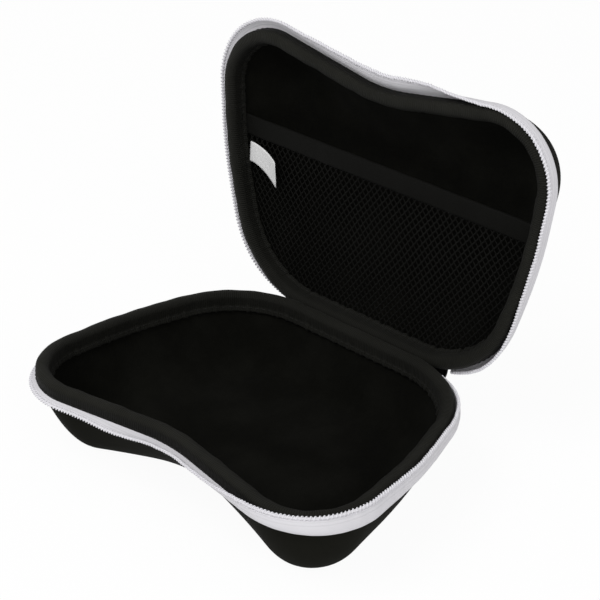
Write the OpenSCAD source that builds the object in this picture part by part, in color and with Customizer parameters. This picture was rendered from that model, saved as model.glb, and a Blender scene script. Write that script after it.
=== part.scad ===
// Moulded carrying case for a game controller, shown open. It has two deep half shells with the
// two-lobed outline of a controller, a rolled cloth binding over each rim, the two halves of a
// coil zip, a cloth hinge, and a net pocket with an elastic band in the lid.
// The origin is on the floor under the middle of the base. X runs along the hinge and +Y points to it.

/* [Rim outline] */
// Half width to the point where the back line and the side line meet
back_x = 68.1; // [64:0.1:72]
// Distance from the middle to the back edge
back_y = 62.7; // [58:0.1:68]
// Radius of the back corners
back_r = 48; // [36:1:50]
// Half width at the slight bend in each side
side_x = 86.7; // [84:0.1:90]
// Radius of that bend
side_r = 200; // [120:5:240]
// Half width to the point where the side line and the front line meet
lobe_x = 93.7; // [90:0.1:98]
// Distance from the middle to that point
lobe_y = 68.8; // [64:0.1:72]
// Radius of the two front lobes
lobe_r = 29; // [22:0.5:32]
// Distance from the middle to the dip between the lobes
waist_y = 52.5; // [48:0.1:58]
// Radius of the dip
waist_r = 74; // [40:1:90]

/* [Floor outline] */
// How far the floor lies inside the rim at the back
floor_back_in = 13; // [10:0.5:15]
// How far it lies inside the rim at the sides
floor_side_in = 24; // [20:0.5:27]
// How far the floor's lobe corner lies inside the rim's, across
floor_lobe_in = 12.5; // [10.5:0.5:15]
// The same, front to back
floor_front_in = 7.5; // [6:0.5:10]
// How far the floor's dip lies inside the rim's
floor_waist_in = 44; // [36:0.5:46]
// Radius of the floor's back corners
floor_back_r = 30; // [20:1:34]
// Radius of the floor's lobes
floor_lobe_r = 12; // [10:0.5:14]
// Radius of the floor's dip
floor_waist_r = 60; // [40:1:66]
// How upright the wall is before it turns into the floor
wall_power = 1.7; // [1.4:0.05:2]

/* [Shells] */
// Height of the base from floor to rim
base_h = 37.6; // [32:0.2:46]
// Height of the lid from crown to rim
lid_h = 27.7; // [24:0.2:36]
// Thickness of the moulded foam shell
shell_t = 3.6; // [2.6:0.1:4.4]
// Thickness of the fleece lining
lining_t = 0.9; // [0.6:0.1:1.4]
// Space for the glue and thread between layers
layer_gap = 0.1; // [0.08:0.01:0.14]

/* [Binding] */
// Thickness of the ribbed binding tape
binding_t = 0.8; // [0.6:0.1:1.1]
// Height of the binding's outer leg, down to the zip seam
leg_h = 5.7; // [4.6:0.1:7]
// Height of the rounded roll on top of the rim
roll_h = 2.4; // [1.9:0.1:3]
// Turn of the wall at the binding's inner hem, in degrees
hem_turn = 14; // [10:1:18]
// How far the hem stands off the wall
hem_out = 0.5; // [0.2:0.1:0.9]

/* [Zip] */
// Greatest width of each half of the zip tape past its fold, without the coil
tape_w = 8.6; // [7:0.2:10]
// Thickness of the zip tape
tape_t = 0.7; // [0.5:0.05:0.9]
// Greatest run of the tape out from the seam before it folds up
fold_w = 5; // [4:0.1:6]
// Distance round each back corner from its start to the end of the zip
zip_start = 16; // [14:1:22]
// Curl of the tape across its free width, in degrees
tape_curl = 30; // [10:2:50]
// Width of the coil
coil_w = 1.7; // [1.3:0.1:2]
// Height of the coil
coil_t = 1.5; // [1.2:0.1:1.8]
// Teeth modelled between two stations of the tape
teeth_per_step = 4; // [2:1:5]

/* [Hinge] */
// Length of the cloth hinge strip
hinge_l = 92; // [70:1:98]
// Thickness of the strip
hinge_t = 0.9; // [0.7:0.1:1.1]
// Pull of the strip's sag below its two seams
hinge_sag = 6; // [5:0.2:8]
// Distance from the back edge forward to the line that the lid turns about
hinge_in = 3.1; // [2.9:0.1:3.3]
// Space between the two bindings when the case is shut
shut_gap = 1.4; // [1.2:0.1:1.8]
// Angle to which the lid stands open
open_angle = 94; // [85:0.1:100]
// Space between the base's back edge and the lid's rim when it is open
open_gap = 0.6; // [0.5:0.05:0.8]

/* [Pocket] */
// Distance from the middle of the case forward to the band's free edge
band_y = 17.5; // [12:0.5:24]
// Width of the elastic band
band_w = 9; // [7:0.5:12]
// Thickness of the band
band_t = 1.4; // [1:0.1:1.8]
// Thickness of the net
net_t = 0.9; // [0.7:0.1:1.3]
// Width of one diamond gap in the net
net_gap_w = 11; // [9:0.1:11.4]
// Height of one gap in the net
net_gap_h = 8.8; // [7:0.1:9.2]
// Distance between gaps along the hinge
net_pitch_x = 13.4; // [13:0.1:14.4]
// Distance between rows of gaps
net_pitch_y = 5.4; // [5.2:0.1:6]

/* [Label] */
// Height of the cloth tag
tag_h = 9.5; // [7:0.5:11]
// Length of the tag along its curl
tag_l = 20; // [14:0.5:24]
// Thickness of the tag
tag_t = 0.5; // [0.4:0.05:0.7]
// Radius of the tag's curl
tag_r = 30; // [20:1:36]

/* [Slider] */
// Distance from the end of the zip to the middle of the parked slider
slider_from_end = 12; // [10:0.5:14]
// Length of the slider
slider_l = 9; // [8:0.5:10]
// Width of the slider
slider_w = 8.4; // [7.6:0.2:9]
// Thickness of each slider plate
plate_t = 1.1; // [0.9:0.1:1.3]
// Length of the pull tab
pull_l = 22; // [16:1:26]
// Width of the pull tab
pull_w = 6.4; // [5:0.2:7]
// Thickness of the pull tab
pull_t = 1.5; // [1.2:0.1:1.7]

/* [Hidden] */

// Outlines. A corner is [x, y, radius], and the seven corners go round from the left back one.
function corners(bx, by, br, sx, sr, lx, ly, lr, wy, wr) =
    [[-bx, by, br], [-sx, 0, sr], [-lx, -ly, lr], [0, -wy, wr], [lx, -ly, lr], [sx, 0, sr], [bx, by, br]];
rim_corners = corners(back_x, back_y, back_r, side_x, side_r, lobe_x, lobe_y, lobe_r, waist_y, waist_r);
floor_corners = corners(back_x - floor_side_in, back_y - floor_back_in, floor_back_r,
                        side_x - floor_side_in, side_r,
                        lobe_x - floor_lobe_in, lobe_y - floor_front_in, floor_lobe_r,
                        waist_y - floor_waist_in, floor_waist_r);
corner_steps = [7, 1, 9, 4, 9, 1, 7];

function unit(v) = v / norm(v);
function flat(c) = [c[0], c[1]];
function half_turn(a) = a > 180 ? a - 360 : a <= -180 ? a + 360 : a;

// Points of the arc that rounds the corner v between p and q, moved inwards by inset
function corner_arc(p, v, q, r, steps, inset) =
    let (a = unit(p - v), b = unit(q - v), half = acos(a * b) / 2,
         middle = v + unit(a + b) * r / sin(half),
         from = v + a * r / tan(half) - middle, to = v + b * r / tan(half) - middle,
         start = atan2(from.y, from.x), turn = half_turn(atan2(to.y, to.x) - start),
         radius = r - sign(turn) * inset)
    [for (i = [0:steps]) middle + radius * [cos(start + turn * i / steps), sin(start + turn * i / steps)]];

// The outline that lies a share of the way from the rim's to the floor's
function outline(share, inset) =
    let (c = rim_corners + (floor_corners - rim_corners) * share, n = len(c))
    [for (i = [0:n - 1]) each corner_arc(flat(c[(i + n - 1) % n]), flat(c[i]), flat(c[(i + 1) % n]),
                                         c[i][2], corner_steps[i], inset)];

function level(points, z) = [for (p = points) [p.x, p.y, z]];

// One ring of a wall. turn goes from 0 at the top of the wall to 90 at the floor.
function wall_ring(turn, inset, depth) =
    level(outline(1 - cos(turn), inset), -leg_h - (depth - leg_h) * pow(sin(turn), wall_power));
function rim_ring(inset, z) = level(outline(0, inset), z);

// A solid from rings of as many points each: capped at both ends, or joined from last to first.
// Past the ring called back, which is on the way down the inner side, each face is split along its
// other diagonal, so that the layers that nest in each other keep their gap.
module ring_solid(rings, back, joined = false) {
    n = len(rings[0]);
    last = len(rings) - 1;
    spans = joined ? last : last - 1;
    sides = [for (j = [0:spans], i = [0:n - 1])
        let (k = (j + 1) % (last + 1), m = (i + 1) % n)
        each j < back ? [[j * n + i, k * n + i, k * n + m], [j * n + i, k * n + m, j * n + m]]
                      : [[j * n + i, k * n + i, j * n + m], [j * n + m, k * n + i, k * n + m]]];
    caps = joined ? [] : [[for (i = [0:n - 1]) i], [for (i = [n - 1:-1:0]) last * n + i]];
    polyhedron(points = [for (r = rings) each r], faces = concat(sides, caps), convexity = 8);
}

// Layers of the wall, from the outline inwards
shell_in = binding_t + layer_gap;
lining_in = shell_in + shell_t + layer_gap;
lining_face_in = lining_in + lining_t;
rim_w = lining_face_in + layer_gap + binding_t;
rim_fill = 0.62;
rim_top = -roll_h * rim_fill;
outer_turns = [90, 72, 54, 36, 18, 0];
inner_turns = [90, 64, 38, hem_turn, 0];

// An open tray between two skins: outer is [inset, depth], and so is inner
module tray(outer, inner, turns) {
    ring_solid(concat(
        [for (t = turns) wall_ring(t, outer[0], outer[1])],
        [rim_ring(outer[0], rim_top - layer_gap), rim_ring(inner[0], rim_top - layer_gap)],
        [for (i = [len(inner_turns) - 1:-1:0]) wall_ring(inner_turns[i], inner[0], inner[1])]),
        back = len(turns));
}

module shell(depth) tray([shell_in, depth], [shell_in + shell_t, depth - shell_t], outer_turns);

module lining(depth) tray([lining_in, depth - shell_t - layer_gap],
                          [lining_face_in, depth - shell_t - layer_gap - lining_t], inner_turns);

// The binding is a U of cloth over the rim, with a rounded roll on top and a hem down the inside.
module binding(depth) {
    hem_depth = depth - shell_t - layer_gap - lining_t;
    roll = [for (a = [0:45:180]) [rim_w / 2 * (1 - cos(a)), -roll_h * (1 - sin(a))]];
    inside = rim_w - binding_t;
    rings = concat(
        [rim_ring(0, -leg_h)],
        [for (p = roll) rim_ring(p.x, p.y)],
        [rim_ring(rim_w, -leg_h), wall_ring(hem_turn, rim_w + hem_out, hem_depth),
         wall_ring(hem_turn, inside, hem_depth), rim_ring(inside, -leg_h), rim_ring(inside, rim_top),
         rim_ring(binding_t, rim_top), rim_ring(binding_t, -leg_h)]);
    ring_solid(rings, back = len(rings), joined = true);
}

// Path of the zip: the rim outline as an open line, by the distance along it
path = outline(0, 0);
path_at = [for (i = 0, s = 0; i < len(path);
                s = s + (i + 1 < len(path) ? norm(path[i + 1] - path[i]) : 0), i = i + 1) s];
path_x = [for (i = [0:len(path) - 1]) [path_at[i], path[i].x]];
path_y = [for (i = [0:len(path) - 1]) [path_at[i], path[i].y]];
function on_path(s) = [lookup(s, path_x), lookup(s, path_y)];
path_reach = 1.5;
function along_path(s) = unit(on_path(s + path_reach) - on_path(s - path_reach));
zip_from = zip_start;
zip_to = path_at[len(path) - 1] - zip_start;
zip_steps = 42;

// How the soft tape lies along the zip. Each row has the share of the zip's length from its left
// end, the share of fold_w that it runs out, the share of tape_w past the fold, and its angle above
// level. On the base it is tucked in round the left lobe and stands up round the right one.
base_lie = [[0, 0.3, 0.45, -34], [0.05, 0.3, 0.45, -34], [0.1, 0.38, 0.35, -40], [0.2, 0.44, 0.3, -40],
            [0.27, 0.24, 0.07, -20], [0.33, 0.24, 0.09, -5], [0.38, 0.4, 0.3, 20], [0.45, 0.4, 0.44, 24],
            [0.52, 0.44, 0.42, 33], [0.56, 0.48, 0.4, 40], [0.59, 0.52, 0.48, 50], [0.63, 0.6, 0.72, 76],
            [0.66, 0.64, 0.84, 84], [0.7, 0.96, 0.95, 94], [0.73, 1, 1, 97], [0.77, 0.8, 0.95, 93],
            [0.82, 0.7, 0.8, 90], [0.9, 0.52, 0.7, 92], [0.94, 0.42, 0.55, 92], [0.965, 0.24, 0.3, 80],
            [1, 0.24, 0.1, 60]];
lid_lie = [[0, 0.3, 0.1, 60], [0.06, 0.36, 0.36, 70], [0.12, 0.44, 0.6, 78], [0.33, 0.48, 0.62, 82],
           [0.38, 0.48, 0.7, 66], [0.44, 0.48, 0.78, 58], [0.5, 0.48, 0.84, 52], [0.57, 0.48, 0.84, 53],
           [0.6, 0.48, 0.74, 56], [0.64, 0.48, 0.62, 42], [0.7, 0.48, 0.56, 34], [0.9, 0.48, 0.56, 34],
           [0.955, 0.4, 0.4, 44], [1, 0.3, 0.1, 50]];
function lies(lie, share, column) = lookup(share, [for (row = lie) [row[0], row[column]]]);

tape_root = [-(shell_in - tape_t / 2), -leg_h - layer_gap - tape_t / 2];

// The tape's section at distance s, as points across it: [outwards, up]
function tape_line(s, lie) =
    let (share = (s - zip_from) / (zip_to - zip_from), angle = lies(lie, share, 3),
         half = tape_w * lies(lie, share, 2) / 2,
         steps = [[fold_w * lies(lie, share, 1), 0], [half, angle - tape_curl / 2],
                  [half, angle + tape_curl / 2]])
    [for (i = 0, p = tape_root; i <= len(steps);
          p = p + (i < len(steps) ? steps[i][0] * [cos(steps[i][1]), sin(steps[i][1])] : [0, 0]),
          i = i + 1) p];
function line_angle(line, i) = let (a = line[max(i - 1, 0)], b = line[min(i + 1, len(line) - 1)])
    atan2(b.y - a.y, b.x - a.x);

// A point [outwards, up] of the section at distance s along the path
function place(s, p) = let (t = along_path(s), o = [t.y, -t.x], at = on_path(s))
    [at.x + o.x * p.x, at.y + o.y * p.x, p.y];
function station(i) = zip_from + (zip_to - zip_from) * i / zip_steps;

// A solid swept along stations, each a closed section of as many points
module swept(sections) {
    n = len(sections[0]);
    last = len(sections) - 1;
    sides = [for (i = [0:last - 1], j = [0:n - 1])
        let (k = (j + 1) % n, a = i * n, b = (i + 1) * n)
        each [[a + j, a + k, b + k], [a + j, b + k, b + j]]];
    caps = [[for (j = [n - 1:-1:0]) j], [for (j = [0:n - 1]) last * n + j]];
    polyhedron(points = [for (r = sections) each r], faces = concat(sides, caps), convexity = 8);
}

module zip_tape(lie) swept([for (i = [0:zip_steps])
    let (s = station(i), line = tape_line(s, lie), m = len(line) - 1,
         side = [for (k = [0:m]) let (a = line_angle(line, k)) [-sin(a), cos(a)] * tape_t / 2])
    concat([for (k = [0:m]) place(s, line[k] - side[k])],
           [for (k = [m:-1:0]) place(s, line[k] + side[k])])]);

// The tape's free edge at a station: its point, the way it points, and the way its face looks
function edge_at(i, lie) =
    let (s = station(i), line = tape_line(s, lie), m = len(line) - 1, a = line_angle(line, m),
         tip = place(s, line[m]))
    [tip, place(s, line[m] + [cos(a), sin(a)]) - tip, place(s, line[m] + [-sin(a), cos(a)]) - tip];
function edge_between(x, lie) = let (i = min(floor(x), zip_steps - 1), f = x - i)
    edge_at(i, lie) * (1 - f) + edge_at(i + 1, lie) * f;

// The coil is one toothed bead on the tape's free edge. Its sections swell and shrink in turn.
trough_reach = 0.6;
trough_half = 0.36;
module zip_coil(lie) {
    per_step = 2 * teeth_per_step;
    swept([for (k = [0:zip_steps * per_step])
        let (e = edge_between(k / per_step, lie), tooth = k % 2 == 0,
             reach = tooth ? coil_w : coil_w * trough_reach,
             half = tooth ? coil_t / 2 : coil_t * trough_half,
             root = e[0] + e[1] * layer_gap)
        [root - e[2] * half, root + e[1] * reach, root + e[2] * half]]);
}

// Places: the base stands on its floor, and the lid is the same kind of tray turned over and opened
hinge_y = back_y - hinge_in;
hinge_z = base_h - (hinge_in + open_gap - shut_gap);

module in_base() translate([0, 0, base_h]) children();
module in_lid() translate([0, hinge_y, hinge_z]) rotate([-open_angle, 0, 0])
    translate([0, -hinge_y, base_h + shut_gap - hinge_z]) mirror([0, 0, 1]) children();

module base_shell() color("#26262a") in_base() shell(base_h);
module base_lining() color("#1b1b1c") in_base() lining(base_h);
module base_binding() color("#3a3a38") in_base() binding(base_h);
module base_zip_tape() color("#e4e3e6") in_base() zip_tape(base_lie);
module base_zip_coil() color("#f4f4f5") in_base() zip_coil(base_lie);
module lid_shell() color("#26262a") in_lid() shell(lid_h);
module lid_lining() color("#1b1b1c") in_lid() lining(lid_h);
module lid_binding() color("#3a3a38") in_lid() binding(lid_h);
module lid_zip_tape() color("#e4e3e6") in_lid() zip_tape(lid_lie);
module lid_zip_coil() color("#f4f4f5") in_lid() zip_coil(lid_lie);

// The hinge strip follows both back edges and sags in a U between the base's seam and the lid's.
hinge_stations = 10;
hinge_points = 8;
hinge_clear = 0.3;
function back_line(x) =
    let (past = max(0, abs(x) + path[0].x)) back_y - back_r + sqrt(back_r * back_r - past * past);
function opened(y, z) = [hinge_y + (y - hinge_y) * cos(open_angle) + (z - hinge_z) * sin(open_angle),
                         hinge_z - (y - hinge_y) * sin(open_angle) + (z - hinge_z) * cos(open_angle)];
function sag(a, b, k) = let (drop = [0, -hinge_sag], f = k / hinge_points, g = 1 - f)
    g * g * g * a + 3 * g * g * f * (a + drop) + 3 * g * f * f * (b + drop) + f * f * f * b;
function hinge_line(x) =
    let (face = back_line(x) - shell_in + layer_gap, seam = leg_h + layer_gap)
    [for (k = [0:hinge_points])
        sag([face + hinge_t / 2, base_h - seam],
            opened(face + hinge_clear, base_h + shut_gap + seam + hinge_t / 2), k)];

module hinge_strip() color("#1f1f20") swept([for (i = [0:hinge_stations])
    let (x = hinge_l * (0.5 - i / hinge_stations), line = hinge_line(x), m = hinge_points,
         side = [for (k = [0:m]) let (a = line_angle(line, k)) [-sin(a), cos(a)] * hinge_t / 2])
    concat([for (k = [0:m]) [x, line[k].x - side[k].x, line[k].y - side[k].y]],
           [for (k = [m:-1:0]) [x, line[k].x + side[k].x, line[k].y + side[k].y]])]);

// The net and its band are flat and are sewn in all round under the hem of the lid's binding.
lid_hem_depth = lid_h - shell_t - layer_gap - lining_t;
pocket_top = -leg_h - (lid_hem_depth - leg_h) * pow(sin(hem_turn), wall_power) - layer_gap;
pocket_turn = asin(pow((band_t - pocket_top - leg_h) / (lid_hem_depth - leg_h), 1 / wall_power));
net_outline = outline(1 - cos(pocket_turn), lining_face_in + 2 * layer_gap);
pocket_front = -band_y + band_w;
right_half = [for (i = [len(net_outline) / 2:len(net_outline) - 1]) net_outline[i]];
net_half_w = [for (p = right_half) [p.y, p.x]];

module pocket_area(from, to) intersection() {
    polygon(net_outline);
    translate([-lobe_x, from]) square([2 * lobe_x, to - from]);
}

module net_gap() polygon([[-net_gap_w / 2, 0], [0, -net_gap_h / 2], [net_gap_w / 2, 0], [0, net_gap_h / 2]]);

net_margin = 1.6;
net_rows = floor((back_y - rim_w - pocket_front) / net_pitch_y);
net_columns = floor(side_x / net_pitch_x);
function gap_fits(x, y) =
    abs(x) + net_gap_w / 2 + net_margin < lookup(y, net_half_w)
    && abs(x) + net_margin < lookup(y + net_gap_h / 2, net_half_w)
    && y + net_gap_h / 2 + net_margin < net_outline[0].y;

module pocket_net() color("#2e2e2d") in_lid() translate([0, 0, pocket_top - net_t]) linear_extrude(net_t)
    difference() {
        pocket_area(pocket_front + layer_gap, back_y);
        for (row = [0:net_rows], column = [-net_columns:net_columns]) {
            x = (column + (row % 2) / 2) * net_pitch_x;
            y = pocket_front + net_margin + net_gap_h / 2 + row * net_pitch_y;
            if (gap_fits(x, y)) translate([x, y]) net_gap();
        }
    }

module pocket_band() color("#2b2b29") in_lid() translate([0, 0, pocket_top - band_t])
    linear_extrude(band_t) pocket_area(-band_y, pocket_front);

// The tag is sewn in at the left under the band and curls away from the net.
tag_below_band = 3;
tag_y = pocket_front + tag_below_band;
tag_x = layer_gap + rim_w + hem_out - lining_face_in - lookup(tag_y + tag_h / 2, net_half_w);
module label_tag() color("#efefef") in_lid()
    translate([tag_x, tag_y + tag_h, pocket_top + layer_gap + tag_r]) rotate([90, 0, 0])
    rotate([0, 0, -90]) rotate_extrude(angle = tag_l / tag_r * 180 / PI, $fn = 96)
    translate([tag_r - tag_t, 0]) square([tag_t, tag_h]);

// The slider is parked near the left end of the zip, on the base's coil, with its pull below it.
// In its own frame X runs along the zip, -Y points away from the case and Z is the tape's face.
slider_edge = edge_between(slider_from_end / (zip_to - zip_from) * zip_steps, base_lie);
slider_along = along_path(zip_from + slider_from_end);
slider_tilt = atan2(slider_edge[2] * [slider_along.y, -slider_along.x, 0], slider_edge[2].z);
coil_clear = 0.35;
post_r = 0.8;
bar_r = 0.6;
bar_drop = 2.4;
eye_clear = 0.3;
eye_t = 0.7;
eye_w = 3;
neck_l = 5.5;
slot_h = coil_t + 2 * coil_clear;
slider_under = -slot_h / 2 - plate_t;

module at_slider() in_base() translate(slider_edge[0] + slider_edge[1] * coil_w)
    rotate([0, 0, atan2(slider_along.y, slider_along.x)]) rotate([slider_tilt, 0, 0])
    translate([0, -coil_clear - post_r, 0]) children();

// Each plate is narrow at the tail and widest at the shoulders, where the two tapes part.
tail_w = slider_w * 0.64;
neck_w = slider_w * 0.68;
nose_w = slider_w * 0.84;
plate_half = [[slider_l / 2, nose_w / 2], [slider_l / 4, slider_w / 2], [-slider_l / 6, neck_w / 2],
              [-slider_l / 2, tail_w / 2]];

module slider_plate() linear_extrude(plate_t)
    polygon(concat(plate_half, [for (i = [len(plate_half) - 1:-1:0]) [plate_half[i].x, -plate_half[i].y]]));

module pull_bar() {
    ear_y = eye_w / 2 + eye_clear + bar_r;
    for (side = [-1, 1]) translate([0, side * ear_y, -bar_drop]) cylinder(r = bar_r, h = bar_drop, $fn = 24);
    translate([0, 0, -bar_drop]) rotate([90, 0, 0])
        cylinder(r = bar_r, h = 2 * (ear_y + bar_r), center = true, $fn = 24);
}

module zip_slider() color("#202022") at_slider() {
    translate([0, 0, slot_h / 2]) slider_plate();
    translate([0, 0, slider_under]) slider_plate();
    translate([slider_l / 4, 0, slider_under]) cylinder(r = post_r, h = slot_h + 2 * plate_t, $fn = 24);
    translate([0, 0, slider_under]) pull_bar();
}

module zip_pull() color("#202022") at_slider() translate([0, 0, slider_under - bar_drop]) {
    eye_r = bar_r + eye_clear;
    difference() {
        union() {
            rotate([90, 0, 0]) cylinder(r = eye_r + eye_t, h = eye_w, center = true, $fn = 32);
            rotate([0, 90, 0]) linear_extrude(pull_t, center = true) {
                translate([0, -eye_w / 2]) square([pull_l / 2, eye_w]);
                translate([neck_l, -pull_w / 2]) square([pull_l - pull_w / 2 - neck_l, pull_w]);
                translate([pull_l - pull_w / 2, 0]) circle(d = pull_w, $fn = 32);
            }
        }
        rotate([90, 0, 0]) cylinder(r = eye_r, h = 2 * eye_w, center = true, $fn = 32);
    }
}

base_shell();
base_lining();
base_binding();
base_zip_tape();
base_zip_coil();
hinge_strip();
zip_slider();
zip_pull();
lid_shell();
lid_lining();
lid_binding();
lid_zip_tape();
lid_zip_coil();
pocket_net();
pocket_band();
label_tag();
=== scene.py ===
from math import cos, pi, radians, sin

import bpy
import numpy as np
from mathutils import Matrix, Vector


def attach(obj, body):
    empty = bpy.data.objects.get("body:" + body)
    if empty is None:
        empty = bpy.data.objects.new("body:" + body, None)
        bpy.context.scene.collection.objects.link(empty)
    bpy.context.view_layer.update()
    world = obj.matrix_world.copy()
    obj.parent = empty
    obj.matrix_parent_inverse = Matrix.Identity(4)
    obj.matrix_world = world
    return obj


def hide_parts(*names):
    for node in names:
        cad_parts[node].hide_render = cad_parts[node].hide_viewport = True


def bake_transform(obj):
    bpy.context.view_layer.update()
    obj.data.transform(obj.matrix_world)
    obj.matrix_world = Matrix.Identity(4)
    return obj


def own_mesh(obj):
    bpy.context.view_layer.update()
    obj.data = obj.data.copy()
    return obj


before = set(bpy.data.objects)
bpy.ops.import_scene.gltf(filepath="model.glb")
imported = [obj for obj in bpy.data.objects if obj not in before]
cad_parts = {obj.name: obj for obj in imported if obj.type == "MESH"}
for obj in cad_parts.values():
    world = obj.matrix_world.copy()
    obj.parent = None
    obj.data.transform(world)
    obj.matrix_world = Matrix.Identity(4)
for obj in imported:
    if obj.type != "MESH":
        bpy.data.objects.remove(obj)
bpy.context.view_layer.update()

# Camera
# The view was fitted to the case's rims and silhouettes: from the front right and above, with a
# long lens, so that the far side of the case is hardly smaller than the near side.
turned, raised, rolled = radians(42.76), radians(29.69), radians(0.28)
backward = Vector((sin(turned) * cos(raised), -cos(turned) * cos(raised), sin(raised)))
level_right = Vector((cos(turned), sin(turned), 0))
level_up = backward.cross(level_right)
right = level_right * cos(rolled) + level_up * sin(rolled)
up = level_up * cos(rolled) - level_right * sin(rolled)
camera = bpy.data.objects.new("camera", bpy.data.cameras.new("camera"))
camera.data.sensor_width = 36
camera.data.lens = 106.28
camera.data.clip_start = 0.01
camera.matrix_world = Matrix((right, up, backward)).transposed().to_4x4()
camera.location = (0.44075, -0.45172, 0.43689)
bpy.context.scene.collection.objects.link(camera)
bpy.context.scene.camera = camera

# Table and lamps
# A plain white table, white surroundings and two wide soft lamps. What the camera sees of the
# table is mostly its own white, and the rest keeps the case's soft shadow.
bpy.context.scene.view_settings.view_transform = "Standard"


def calc(tree, operation, *values):
    """Adds one Math node and returns its result. Each value is a number or another node's socket."""
    node = tree.nodes.new("ShaderNodeMath")
    node.operation = operation
    for socket, value in zip(node.inputs, values):
        if isinstance(value, (int, float)):
            socket.default_value = value
        else:
            tree.links.new(value, socket)
    return node.outputs[0]


def seen_white(tree):
    """1 for rays from the camera and for rays that metal and glass send on, otherwise 0."""
    path = tree.nodes.new("ShaderNodeLightPath")
    seen = calc(tree, "MAXIMUM", path.outputs["Is Camera Ray"], path.outputs["Is Glossy Ray"])
    return calc(tree, "MAXIMUM", seen, path.outputs["Is Transmission Ray"])


world = bpy.data.worlds.new("studio")
bpy.context.scene.world = world
world.use_nodes = True
tree = world.node_tree
tree.nodes.clear()
room = tree.nodes.new("ShaderNodeBackground")
room.inputs["Color"].default_value = (1, 1, 1, 1)
room.inputs["Strength"].default_value = 0.45
backdrop = tree.nodes.new("ShaderNodeBackground")
backdrop.inputs["Color"].default_value = (1, 1, 1, 1)
backdrop.inputs["Strength"].default_value = 1.0
either = tree.nodes.new("ShaderNodeMixShader")
path = tree.nodes.new("ShaderNodeLightPath")
seen = calc(tree, "MAXIMUM", path.outputs["Is Camera Ray"], path.outputs["Is Transmission Ray"])
tree.links.new(seen, either.inputs["Fac"])
tree.links.new(room.outputs[0], either.inputs[1])
tree.links.new(backdrop.outputs[0], either.inputs[2])
tree.links.new(either.outputs[0], tree.nodes.new("ShaderNodeOutputWorld").inputs["Surface"])

table_white = bpy.data.materials.new("table_white")
table_white.use_nodes = True
tree = table_white.node_tree
shader = tree.nodes["Principled BSDF"]
shader.inputs["Base Color"].default_value = (0.93, 0.93, 0.93, 1)
shader.inputs["Roughness"].default_value = 0.8
shader.inputs["Specular IOR Level"].default_value = 0.1
glow = tree.nodes.new("ShaderNodeEmission")
glow.inputs["Strength"].default_value = 1.0
either = tree.nodes.new("ShaderNodeMixShader")
tree.links.new(calc(tree, "MULTIPLY", seen_white(tree), 0.95), either.inputs["Fac"])
tree.links.new(shader.outputs[0], either.inputs[1])
tree.links.new(glow.outputs[0], either.inputs[2])
tree.links.new(either.outputs[0], tree.nodes["Material Output"].inputs["Surface"])
table_mesh = bpy.data.meshes.new("table")
table_mesh.from_pydata([(-4, -4, 0), (4, -4, 0), (4, 4, 0), (-4, 4, 0)], [], [(0, 1, 2, 3)])
table_mesh.materials.append(table_white)
table = bpy.data.objects.new("table", table_mesh)
table.location.z = -0.0004
bpy.context.scene.collection.objects.link(table)

for name, place, size, power in (("key_lamp", (-0.2, -0.95, 1.42), 1.0, 15.0),
                                 ("fill_lamp", (1.3, -0.45, 0.95), 0.9, 7.2)):
    lamp = bpy.data.objects.new(name, bpy.data.lights.new(name, "AREA"))
    lamp.data.size = size
    lamp.data.energy = power
    lamp.location = place
    lamp.rotation_euler = (Vector((0, 0.02, 0.06)) - lamp.location).to_track_quat("-Z", "Y").to_euler()
    bpy.context.scene.collection.objects.link(lamp)

# Base shell
# Thick foam with a smooth dark knitted skin bonded on, pressed hot into a deep tray. The outline
# has the two lobes of a controller's grips. It shrinks from rim to floor, and the wall turns in.
MM = 0.001
LEG = 5.7  # depth of the binding's outer leg, where the wall starts to turn in
WALL_POWER = 1.7
BASE_DEPTH = 37.6
SHELL_IN = 0.9
SHELL_THICK = 3.6
RIM_FILL = -1.6  # where the layers end inside the binding's roll
LAYER_TOP, LAYER_SHOULDER, LAYER_SIDE = RIM_FILL - 0.1, RIM_FILL - 0.5, -3.5  # heights
RIM_CORNERS = np.array([(-68.1, 62.7, 48), (-86.7, 0, 200), (-93.7, -68.8, 29), (0, -52.5, 74),
                        (93.7, -68.8, 29), (86.7, 0, 200), (68.1, 62.7, 48)], float)
FLOOR_CORNERS = np.array([(-44.1, 49.7, 30), (-62.7, 0, 200), (-81.2, -61.3, 12), (0, -8.5, 60),
                          (81.2, -61.3, 12), (62.7, 0, 200), (44.1, 49.7, 30)], float)
FLOOR_MIDDLE = np.array([0, 20.0])
WALL_SPACING = 1.8  # between the points of a ring of shell or lining


def unit(v):
    """Vectors divided by their lengths."""
    return v / np.linalg.norm(v, axis=-1, keepdims=True)


def rounded(share, inset):
    """The outline's corners as arcs. Corner c between its neighbours p and q, with unit vectors a
    and b towards them at half angle h, has its arc's middle at c + unit(a + b) r / sin h, and the
    arc runs from c + a r / tan h to c + b r / tan h. Moving inwards changes only the radius."""
    corners = RIM_CORNERS + (FLOOR_CORNERS - RIM_CORNERS) * np.asarray(share, float)[..., None, None]
    here, r = corners[..., :2], corners[..., 2]
    a, b = unit(np.roll(here, 1, -2) - here), unit(np.roll(here, -1, -2) - here)
    half = np.arccos((a * b).sum(-1)) / 2
    middle = here + unit(a + b) * (r / np.sin(half))[..., None]
    first = here + a * (r / np.tan(half))[..., None] - middle
    last = here + b * (r / np.tan(half))[..., None] - middle
    start = np.arctan2(first[..., 1], first[..., 0])
    turn = (np.arctan2(last[..., 1], last[..., 0]) - start + pi) % (2 * pi) - pi
    return middle, start, turn, r - np.sign(turn) * np.asarray(inset, float)[..., None]


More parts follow.
